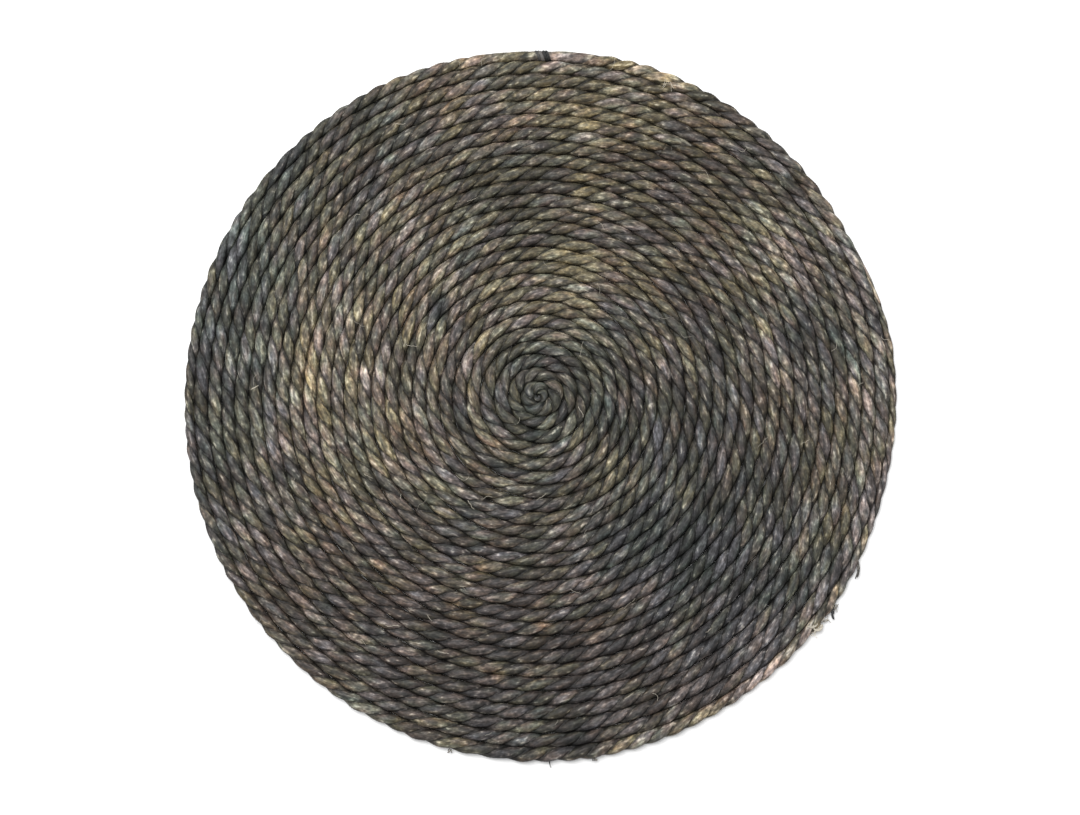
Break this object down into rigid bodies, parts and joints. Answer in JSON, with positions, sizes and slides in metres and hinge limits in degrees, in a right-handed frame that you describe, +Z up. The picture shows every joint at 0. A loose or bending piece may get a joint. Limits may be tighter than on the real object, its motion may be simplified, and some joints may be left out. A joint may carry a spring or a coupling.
{
  "type": "placemat",
  "caption": "Round flat placemat of two-ply twisted leaf-fibre rope coiled from the middle, with a small thread binding on its rim.",
  "frame": {"origin": "middle of the mat's outline, on its flat underside", "axes": "+Z up out of the table; +Y away from the viewer of the picture, through the rim binding"},
  "size_m": [0.3798, 0.381, 0.0074],
  "materials": {
    "leaf_fibre": "matte, mottled dyed leaf fibre",
    "dark_thread": "matte"
  },
  "bodies": {
    "root": {"coiled_rope": "leaf_fibre", "rim_binding": "dark_thread"}
  },
  "joints": []
}
